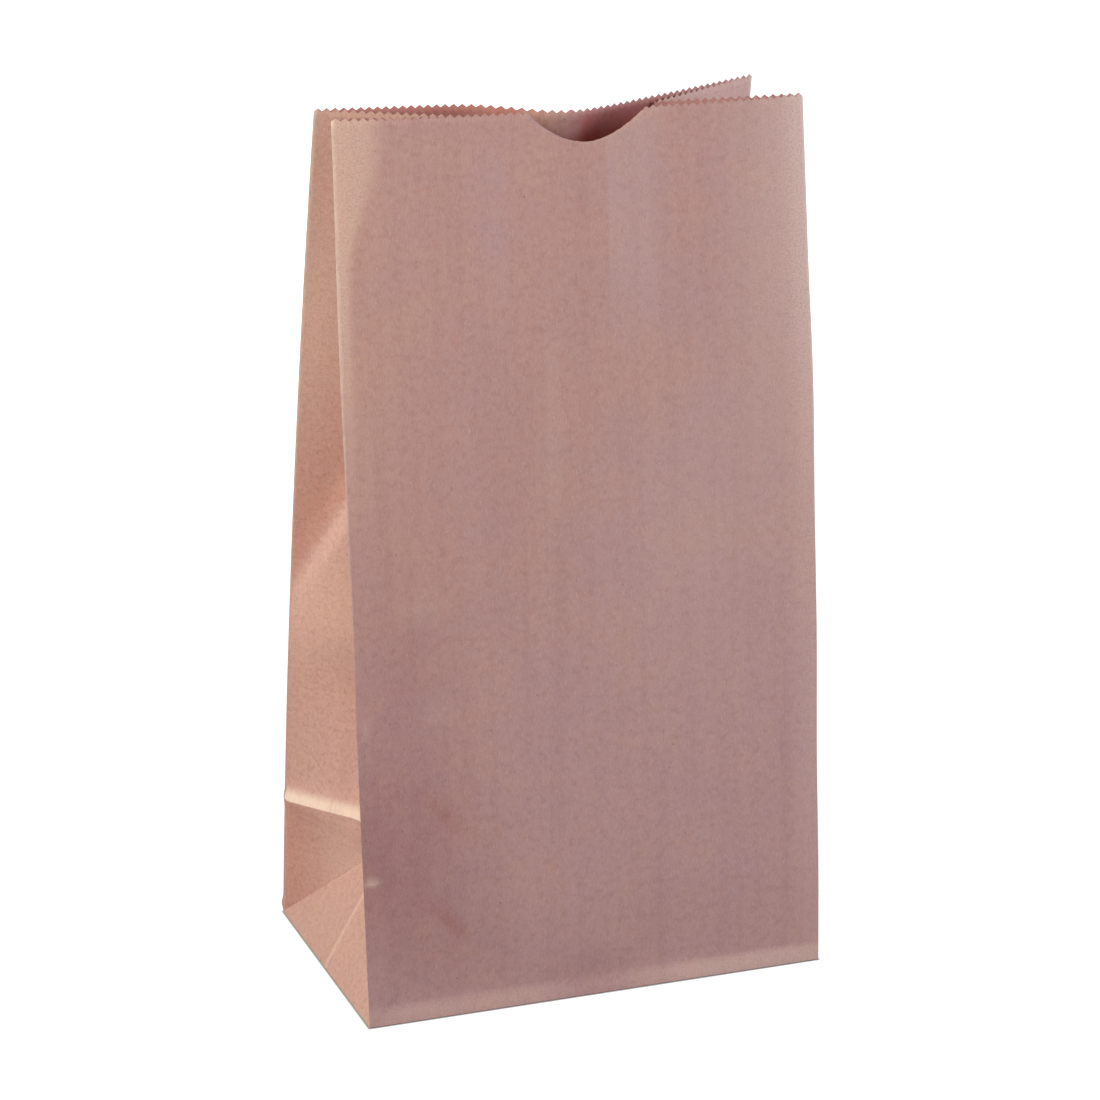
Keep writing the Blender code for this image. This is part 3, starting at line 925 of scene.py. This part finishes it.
def make_bag(paper, inside):
    data = build_sheet()
    sharpen_folds(data)
    data.materials.append(paper)
    data.materials.append(inside)
    bag = bpy.data.objects.new("kraft_sheet", data)
    bpy.context.scene.collection.objects.link(bag)
    layers = bag.vertex_groups.new(name="layers")
    for index, layer in enumerate(data.attributes["layers"].data):
        layers.add([index], layer.value / MOST_LAYERS, "REPLACE")
    thickness = bag.modifiers.new("paper_thickness", "SOLIDIFY")
    thickness.thickness = MOST_LAYERS * PAPER_THICKNESS
    thickness.vertex_group = "layers"
    thickness.offset = -1
    thickness.material_offset = 1
    return bag


def make_flap(name, corners, low, high, paper):
    """One flap of the folded bottom, a thin layer lying on the one above it."""
    mesh = bmesh.new()
    sheet_map = mesh.loops.layers.uv.new("sheet")
    lower = [mesh.verts.new((x, y, low)) for x, y in corners]
    upper = [mesh.verts.new((x, y, high)) for x, y in corners]
    mesh.faces.new(lower)
    mesh.faces.new(upper)
    for place in range(len(corners)):
        mesh.faces.new((lower[place - 1], lower[place], upper[place], upper[place - 1]))
    bmesh.ops.recalc_face_normals(mesh, faces=mesh.faces)
    for face in mesh.faces:
        for loop in face.loops:
            loop[sheet_map].uv = loop.vert.co.xy + FLAP_PLACE
    data = bpy.data.meshes.new(name)
    mesh.to_mesh(data)
    mesh.free()
    for mark in DISTANCE_MARKS:
        distances = data.attributes.new(mark, "FLOAT", "POINT")
        for index in range(len(data.vertices)):
            distances.data[index].value = FAR
    data.materials.append(paper)
    flap = bpy.data.objects.new(name, data)
    bpy.context.scene.collection.objects.link(flap)
    return flap


def make_bottom(paper):
    """Both long flaps with their mitred ends, the back one lying over the front one."""
    half_width = PANEL_WIDTH / 2 - FLAP_MARGIN
    half_depth = GUSSET_DEPTH / 2 - FLAP_MARGIN
    half_lap = BOTTOM_LAP / 2
    reach = half_depth + half_lap
    front = [(-half_width, -half_depth), (half_width, -half_depth)]
    front += [(half_width - reach, half_lap), (reach - half_width, half_lap)]
    back = [(half_width, half_depth), (-half_width, half_depth)]
    back += [(reach - half_width, -half_lap), (half_width - reach, -half_lap)]
    return [
        make_flap("front_flap", front, PAPER_THICKNESS, BOTTOM_LEVEL, paper),
        make_flap("back_flap", back, 0.0, BACK_FLAP_SHARE * PAPER_THICKNESS, paper),
    ]


# The kraft paper

class Nodes:
    """A short way to add and link a material's nodes."""

    def __init__(self, tree):
        self.tree = tree

    def add(self, kind, **settings):
        node = self.tree.nodes.new(kind)
        for name, value in settings.items():
            setattr(node, name, value)
        return node

    def link(self, source, target):
        self.tree.links.new(source, target)

    def math(self, operation, first, second=None, clamp=False):
        node = self.add("ShaderNodeMath", operation=operation, use_clamp=clamp)
        for socket, value in zip(node.inputs, (first, second)):
            if value is None:
                continue
            if isinstance(value, (int, float)):
                socket.default_value = value
            else:
                self.link(value, socket)
        return node.outputs["Value"]

    def noise(self, vector, scale, detail, roughness):
        node = self.add("ShaderNodeTexNoise")
        node.inputs["Scale"].default_value = scale
        node.inputs["Detail"].default_value = detail
        node.inputs["Roughness"].default_value = roughness
        self.link(vector, node.inputs["Vector"])
        return node.outputs["Fac"]

    def stretched(self, vector, size, turn=0.0):
        node = self.add("ShaderNodeMapping")
        node.inputs["Scale"].default_value = size
        node.inputs["Rotation"].default_value = (0, 0, turn)
        self.link(vector, node.inputs["Vector"])
        return node.outputs["Vector"]

    def ramp(self, value, low, high, start=0.0, end=1.0):
        node = self.add("ShaderNodeMapRange", interpolation_type="SMOOTHSTEP")
        node.inputs["From Min"].default_value = low
        node.inputs["From Max"].default_value = high
        node.inputs["To Min"].default_value = start
        node.inputs["To Max"].default_value = end
        self.link(value, node.inputs["Value"])
        return node.outputs["Result"]

    def mark(self, name):
        return self.add("ShaderNodeAttribute", attribute_name=name).outputs["Fac"]

    def patchy_mark(self, name, pattern):
        """A mark of the sheet, broken up by a pattern."""
        return self.math("MULTIPLY", self.mark(name), pattern, clamp=True)

    def tint(self, mask, colour, tone, blend="MIX"):
        """Lays a tone over a colour where a mask is above zero."""
        node = self.add("ShaderNodeMix", data_type="RGBA", blend_type=blend)
        if isinstance(mask, (int, float)):
            node.inputs["Factor"].default_value = mask
        else:
            self.link(mask, node.inputs["Factor"])
        for name, value in (("A", colour), ("B", tone)):
            socket = [entry for entry in node.inputs if entry.name == name and entry.type == "RGBA"][0]
            if isinstance(value, tuple):
                socket.default_value = value
            else:
                self.link(value, socket)
        return [entry for entry in node.outputs if entry.type == "RGBA"][0]


# Paper colours, and tones that darken or tint whatever they are laid over
KRAFT = (0.460, 0.264, 0.245, 1.0)
KRAFT_WARM = (0.487, 0.276, 0.236, 1.0)
KRAFT_DARK = (0.385, 0.203, 0.188, 1.0)
KRAFT_FLECK = (0.16, 0.075, 0.06, 1.0)
KRAFT_FIBRE = (0.61, 0.43, 0.38, 1.0)
KRAFT_FRECKLE = (0.52, 0.245, 0.185, 1.0)
# Pale folds and ridge crest: partly wear, partly painted highlight
KRAFT_WORN_AND_HIGHLIGHT = (0.72, 0.57, 0.49, 1.0)
# Painted highlights, partly rubbed paper
KRAFT_HIGHLIGHT_AND_RUB = (0.63, 0.44, 0.365, 1.0)
KRAFT_INSIDE = (0.462, 0.268, 0.252, 1.0)
KRAFT_INSIDE_DARK = (0.38, 0.175, 0.150, 1.0)
# Painted shade deep inside the bag
KRAFT_INSIDE_SHADE = (0.36, 0.056, 0.044, 1.0)
WHITE = (1.0, 1.0, 1.0, 1.0)
# Mauve tint, painted shade towards the front's foot, also in spots and bands
MAUVE_TONE = (0.95, 0.985, 1.13, 1.0)
# Painted shade on the front, and the darker glued lap, lap edge and foot of the back
SHADE_AND_STAIN_TONE = (0.75, 0.65, 0.66, 1.0)
# Warm painted shade in the gussets' back halves, and the warm tone of scratches, the gussets' tops and the
# glued lap
WARM_SHADE_AND_SCRATCH_TONE = (0.90, 0.70, 0.59, 1.0)
COARSE_TONE = (0.70, 0.66, 0.64, 1.0)

# How far a pattern is drawn out along the sheet
LONG_STREAKS = (1.0, 0.05, 1.0)
FIBRE_STRETCH = (1.0, 0.16, 1.0)
INSIDE_STRETCH = (1.0, 0.2, 1.0)
FOLD_STRETCH = (1.0, 0.3, 1.0)

# The fine fibres, as the turn and the scale of each layer, and the chance specks
FIBRE_LAYERS = ((0.4, 3000.0), (-0.7, 3600.0), (1.3, 3300.0))
SPECK_SCALE = 68.0
SPECK_EDGE = (0.006, 0.030)
SPECKS_KEPT = 0.72

# The surface: its shine, its fine relief and the patterns' shares in that
SHINE = 0.25
RELIEF_STRENGTH = 0.30
RELIEF_HEIGHT = 0.00010
FORMATION_RELIEF = 0.80
GRAIN_RELIEF = 0.35
STREAK_RELIEF = 0.50


def make_fibres():
    """The paper's fibres as a group: clouds, streaks along the sheet, grain, fibres and a few specks."""
    tree = bpy.data.node_groups.new("kraft_fibres", "ShaderNodeTree")
    tree.interface.new_socket("Place", in_out="INPUT", socket_type="NodeSocketVector")
    for name in ("Kraft", "Cloud", "Streak", "Freckle", "Fibre", "Fleck"):
        tree.interface.new_socket(name, in_out="INPUT", socket_type="NodeSocketColor")
    tree.interface.new_socket("Colour", in_out="OUTPUT", socket_type="NodeSocketColor")
    tree.interface.new_socket("Formation", in_out="OUTPUT", socket_type="NodeSocketFloat")
    tree.interface.new_socket("Relief", in_out="OUTPUT", socket_type="NodeSocketFloat")
    nodes = Nodes(tree)
    given = nodes.add("NodeGroupInput").outputs
    place = given["Place"]
    clouds = nodes.noise(place, scale=38.0, detail=4.0, roughness=0.55)
    streaks = nodes.noise(nodes.stretched(place, LONG_STREAKS), scale=190.0, detail=4.0, roughness=0.55)
    formation = nodes.noise(place, scale=360.0, detail=6.0, roughness=0.76)
    freckles = nodes.noise(place, scale=330.0, detail=4.0, roughness=0.66)
    grain = nodes.noise(place, scale=2100.0, detail=3.0, roughness=0.65)
    colour = nodes.tint(nodes.ramp(clouds, low=0.38, high=0.66), given["Kraft"], given["Cloud"])
    colour = nodes.tint(nodes.ramp(streaks, low=0.42, high=0.72, end=0.36), colour, given["Streak"])
    colour = nodes.tint(nodes.ramp(formation, low=0.44, high=0.70, end=0.74), colour, given["Streak"])
    colour = nodes.tint(nodes.ramp(freckles, low=0.50, high=0.74, end=0.38), colour, given["Freckle"])
    colour = nodes.tint(nodes.ramp(grain, low=0.50, high=0.74, end=0.34), colour, given["Fibre"])
    for turn, scale in FIBRE_LAYERS:
        turned = nodes.stretched(place, FIBRE_STRETCH, turn)
        fibres = nodes.noise(turned, scale=scale, detail=1.0, roughness=0.4)
        colour = nodes.tint(nodes.ramp(fibres, low=0.58, high=0.70, end=0.22), colour, given["Fibre"])
    specks = nodes.add("ShaderNodeTexVoronoi", feature="F1", voronoi_dimensions="2D")
    specks.inputs["Scale"].default_value = SPECK_SCALE
    nodes.link(place, specks.inputs["Vector"])
    chosen = nodes.add("ShaderNodeSeparateColor")
    nodes.link(specks.outputs["Color"], chosen.inputs["Color"])
    small = nodes.ramp(specks.outputs["Distance"], *SPECK_EDGE, start=0.70, end=0.0)
    dots = nodes.math("MULTIPLY", small, nodes.ramp(chosen.outputs["Red"], low=SPECKS_KEPT, high=1.0))
    colour = nodes.tint(dots, colour, given["Fleck"])
    relief = nodes.math("MULTIPLY", formation, FORMATION_RELIEF)
    relief = nodes.math("ADD", relief, nodes.math("MULTIPLY", grain, GRAIN_RELIEF))
    relief = nodes.math("ADD", relief, nodes.math("MULTIPLY", streaks, STREAK_RELIEF))
    made = nodes.add("NodeGroupOutput").inputs
    nodes.link(colour, made["Colour"])
    nodes.link(formation, made["Formation"])
    nodes.link(relief, made["Relief"])
    return tree


def lay_fibres(nodes, fibres, kraft, cloud, streak):
    """Places the fibres in a material, in its own colours."""
    group = nodes.add("ShaderNodeGroup", node_tree=fibres)
    place = nodes.add("ShaderNodeUVMap", uv_map="sheet").outputs["UV"]
    nodes.link(place, group.inputs["Place"])
    colours = {
        "Kraft": kraft,
        "Cloud": cloud,
        "Streak": streak,
        "Freckle": KRAFT_FRECKLE,
        "Fibre": KRAFT_FIBRE,
        "Fleck": KRAFT_FLECK,
    }
    for name, colour in colours.items():
        group.inputs[name].default_value = colour
    return place, group.outputs["Colour"], group.outputs["Formation"], group.outputs["Relief"]


def finish_paper(nodes, finish, colour, formation, relief):
    """Joins the colour, the roughness and the small relief to the surface."""
    finish.inputs["Specular IOR Level"].default_value = SHINE
    nodes.link(colour, finish.inputs["Base Color"])
    roughness = nodes.ramp(formation, low=0.3, high=0.7, start=0.76, end=0.90)
    nodes.link(roughness, finish.inputs["Roughness"])
    bump = nodes.add("ShaderNodeBump")
    bump.inputs["Strength"].default_value = RELIEF_STRENGTH
    bump.inputs["Distance"].default_value = RELIEF_HEIGHT
    nodes.link(relief, bump.inputs["Height"])
    nodes.link(bump.outputs["Normal"], finish.inputs["Normal"])


def kraft_inside(fibres):
    """The inner side of the same paper, with painted shade that deepens down inside the bag."""
    material = bpy.data.materials.new("kraft_inside")
    material.use_nodes = True
    nodes = Nodes(material.node_tree)
    laid = lay_fibres(nodes, fibres, KRAFT_INSIDE, KRAFT_INSIDE, KRAFT_INSIDE_DARK)
    place, colour, formation, relief = laid
    # Painted shade that deepens down inside the bag
    depth = nodes.mark("inner_shade")
    uneven = nodes.noise(nodes.stretched(place, INSIDE_STRETCH), scale=130.0, detail=3.0, roughness=0.5)
    painted_inside_shade = nodes.math("MULTIPLY", depth, nodes.ramp(uneven, low=0.25, high=0.70, start=0.80, end=0.98))
    colour = nodes.tint(painted_inside_shade, colour, KRAFT_INSIDE_SHADE)
    finish_paper(nodes, material.node_tree.nodes["Principled BSDF"], colour, formation, relief)
    return material


def kraft_paper(fibres):
    """Uncoated kraft: soft streaks along the sheet, fine fibres and specks, painted highlight and painted
    shade from the sheet's marks, and pale folds, partly worn and partly painted highlight.
    """
    material = bpy.data.materials.new("kraft_paper")
    material.use_nodes = True
    nodes = Nodes(material.node_tree)
    place, colour, formation, relief = lay_fibres(nodes, fibres, KRAFT, KRAFT_WARM, KRAFT_DARK)

    coarse = nodes.noise(place, scale=700.0, detail=4.0, roughness=0.75)
    coarse = nodes.math("MULTIPLY", nodes.mark("coarse"), nodes.ramp(coarse, low=0.46, high=0.70, end=0.72))
    colour = nodes.tint(coarse, colour, COARSE_TONE, "MULTIPLY")
    sandy = nodes.noise(place, scale=1500.0, detail=3.0, roughness=0.7)
    patchy = nodes.noise(place, scale=120.0, detail=4.0, roughness=0.6)
    # Mauve tint, painted shade towards the front's foot
    mauve = nodes.patchy_mark("mauve", nodes.ramp(patchy, low=0.32, high=0.62, start=0.35))
    colour = nodes.tint(mauve, colour, MAUVE_TONE, "MULTIPLY")
    # Warm painted shade in the gussets, and warm scratches
    warm = nodes.patchy_mark("warm", nodes.ramp(patchy, low=0.30, high=0.65, start=0.80))
    colour = nodes.tint(warm, colour, WARM_SHADE_AND_SCRATCH_TONE, "MULTIPLY")
    # Painted shade, and the glued lap of the back
    dark = nodes.patchy_mark("dark", nodes.ramp(patchy, low=0.35, high=0.65, start=0.75))
    colour = nodes.tint(dark, colour, SHADE_AND_STAIN_TONE, "MULTIPLY")
    # Painted highlight, partly rubbed paper
    pale = nodes.patchy_mark("pale", nodes.ramp(sandy, low=0.36, high=0.62, start=0.45, end=1.15))
    colour = nodes.tint(pale, colour, KRAFT_HIGHLIGHT_AND_RUB)

    broken = nodes.noise(nodes.stretched(place, FOLD_STRETCH), scale=700.0, detail=3.0, roughness=0.6)
    # Pale fold lines, partly wear and partly painted highlight
    fold_wear_and_highlight = nodes.ramp(nodes.mark("from_fold"), low=0.0, high=1.0, start=0.60, end=0.0)
    fold_wear_and_highlight = nodes.math("MULTIPLY", fold_wear_and_highlight, nodes.ramp(broken, low=0.30, high=0.60, start=0.35))
    colour = nodes.tint(fold_wear_and_highlight, colour, KRAFT_WORN_AND_HIGHLIGHT)

    # The ridge's pale crest, partly wear and partly painted highlight
    from_ridge = nodes.mark("from_ridge")
    over_crest = nodes.ramp(from_ridge, low=1.5, high=5.5, start=1.0, end=0.0)
    crest_highlight_and_wear = nodes.math("MULTIPLY", nodes.ramp(from_ridge, low=-0.2, high=0.2), over_crest)
    crest_highlight_and_wear = nodes.math("MULTIPLY", crest_highlight_and_wear, nodes.ramp(broken, low=0.25, high=0.55, start=0.55, end=0.85))
    colour = nodes.tint(crest_highlight_and_wear, colour, KRAFT_WORN_AND_HIGHLIGHT)

    # The pale old crease down each bottom triangle, partly rubbed and partly painted highlight
    crease = nodes.ramp(nodes.mark("from_crease"), low=0.2, high=1.6, start=0.55, end=0.0)
    crease = nodes.math("MULTIPLY", crease, nodes.ramp(broken, low=0.25, high=0.55, start=0.5))
    colour = nodes.tint(crease, colour, KRAFT_HIGHLIGHT_AND_RUB)
    finish_paper(nodes, material.node_tree.nodes["Principled BSDF"], colour, formation, relief)
    return material


# Floor, light and view

# The floor's colour for the light it throws, and its brightness near the bag, which rises to white
FLOOR_SIZE = 6.0
FLOOR_GREY = (0.42, 0.42, 0.42, 1.0)
FLOOR_NEAR = 0.72
FLOOR_WHITENS = (0.30, 0.80)

# Each lamp: name, place, the height it is aimed at, size, power and colour
LAMPS = (
    ("side_light", (-0.82, -0.06, 0.42), 0.12, 0.45, 4.8, (1.0, 0.95, 0.77)),
    ("left_light", (-0.58, -0.52, 0.72), 0.15, 0.45, 4.8, (1.0, 0.95, 0.80)),
    ("right_light", (0.80, -0.34, 0.44), 0.15, 0.45, 6.6, (0.80, 0.86, 1.0)),
    ("back_light", (0.30, 1.10, 0.60), 0.15, 0.60, 8.0, (1.0, 0.98, 0.95)),
)

# The soft light from all round
SOFT_LEVEL = 0.24
SOFT_COLOUR = (0.86, 0.95, 1.12, 1.0)


def make_floor():
    mesh = bmesh.new()
    bmesh.ops.create_grid(mesh, x_segments=1, y_segments=1, size=FLOOR_SIZE)
    data = bpy.data.meshes.new("floor")
    mesh.to_mesh(data)
    mesh.free()
    material = bpy.data.materials.new("pale_floor")
    material.use_nodes = True
    nodes = Nodes(material.node_tree)
    material.node_tree.nodes.clear()
    surface = nodes.add("ShaderNodeBsdfDiffuse")
    surface.inputs["Color"].default_value = FLOOR_GREY
    white = nodes.add("ShaderNodeEmission")
    path = nodes.add("ShaderNodeLightPath")
    seen = nodes.math("MAXIMUM", path.outputs["Is Camera Ray"], path.outputs["Is Glossy Ray"])
    where = nodes.add("ShaderNodeNewGeometry").outputs["Position"]
    distance = nodes.add("ShaderNodeVectorMath", operation="LENGTH")
    nodes.link(where, distance.inputs[0])
    brightness = nodes.ramp(distance.outputs["Value"], *FLOOR_WHITENS, start=FLOOR_NEAR)
    axes = nodes.add("ShaderNodeSeparateXYZ")
    nodes.link(where, axes.inputs["Vector"])
    beside = nodes.math("SUBTRACT", nodes.math("ABSOLUTE", axes.outputs["X"]), PANEL_WIDTH / 2)
    before = nodes.math("SUBTRACT", nodes.math("ABSOLUTE", axes.outputs["Y"]), GUSSET_DEPTH / 2)
    # The floor's glow is cut round the bag's footprint, a painted contact shadow under its edges
    outside_contact_shadow = nodes.ramp(nodes.math("MAXIMUM", beside, before), *PAINTED_CONTACT_SHADOW)
    brightness = nodes.math("MULTIPLY", brightness, outside_contact_shadow)
    nodes.link(nodes.math("MULTIPLY", seen, brightness), white.inputs["Strength"])
    blend = nodes.add("ShaderNodeAddShader")
    nodes.link(surface.outputs["BSDF"], blend.inputs[0])
    nodes.link(white.outputs["Emission"], blend.inputs[1])
    output = nodes.add("ShaderNodeOutputMaterial")
    nodes.link(blend.outputs["Shader"], output.inputs["Surface"])
    data.materials.append(material)
    floor = bpy.data.objects.new("floor", data)
    bpy.context.scene.collection.objects.link(floor)


def make_world():
    world = bpy.data.worlds.new("studio")
    bpy.context.scene.world = world
    world.use_nodes = True
    tree = world.node_tree
    tree.nodes.clear()
    nodes = Nodes(tree)
    soft = nodes.add("ShaderNodeBackground")
    soft.inputs["Strength"].default_value = SOFT_LEVEL
    soft.inputs["Color"].default_value = SOFT_COLOUR
    white = nodes.add("ShaderNodeBackground")
    white.inputs["Color"].default_value = WHITE
    path = nodes.add("ShaderNodeLightPath")
    blend = nodes.add("ShaderNodeMixShader")
    nodes.link(path.outputs["Is Camera Ray"], blend.inputs["Fac"])
    nodes.link(soft.outputs["Background"], blend.inputs[1])
    nodes.link(white.outputs["Background"], blend.inputs[2])
    output = nodes.add("ShaderNodeOutputWorld")
    nodes.link(blend.outputs["Shader"], output.inputs["Surface"])


def make_softbox(name, place, aim, size, power, colour):
    """A square lamp that shines on a height of the bag's middle line."""
    light = bpy.data.lights.new(name, "AREA")
    light.shape = "SQUARE"
    light.size = size
    light.energy = power
    light.color = colour
    lamp = bpy.data.objects.new(name, light)
    lamp.visible_camera = False
    bpy.context.scene.collection.objects.link(lamp)
    lamp.location = place
    direction = Vector((0.0, 0.0, aim)) - Vector(place)
    lamp.rotation_euler = direction.to_track_quat("-Z", "Y").to_euler()


def make_camera():
    yaw, pitch, roll = CAMERA_YAW, CAMERA_PITCH, CAMERA_ROLL
    forward = Vector((math.sin(yaw) * math.cos(pitch), math.cos(yaw) * math.cos(pitch), -math.sin(pitch)))
    level_right = Vector((math.cos(yaw), -math.sin(yaw), 0.0))
    level_up = level_right.cross(forward)
    right = level_right * math.cos(roll) + level_up * math.sin(roll)
    up = level_up * math.cos(roll) - level_right * math.sin(roll)
    lens = bpy.data.cameras.new("camera")
    lens.lens = LENS
    lens.sensor_width = SENSOR
    camera = bpy.data.objects.new("camera", lens)
    axes = Matrix((right, up, -forward)).transposed().to_4x4()
    camera.matrix_world = Matrix.Translation(CAMERA_PLACE) @ axes
    bpy.context.scene.collection.objects.link(camera)
    bpy.context.scene.camera = camera


def main():
    fibres = make_fibres()
    paper = kraft_paper(fibres)
    pieces = [make_bag(paper, kraft_inside(fibres))] + make_bottom(paper)
    for piece in pieces:
        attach(piece, "root")
        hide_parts("paper_bag")
    make_floor()
    make_world()
    for lamp in LAMPS:
        make_softbox(*lamp)
    make_camera()
    bpy.context.scene.view_settings.view_transform = "Standard"


main()
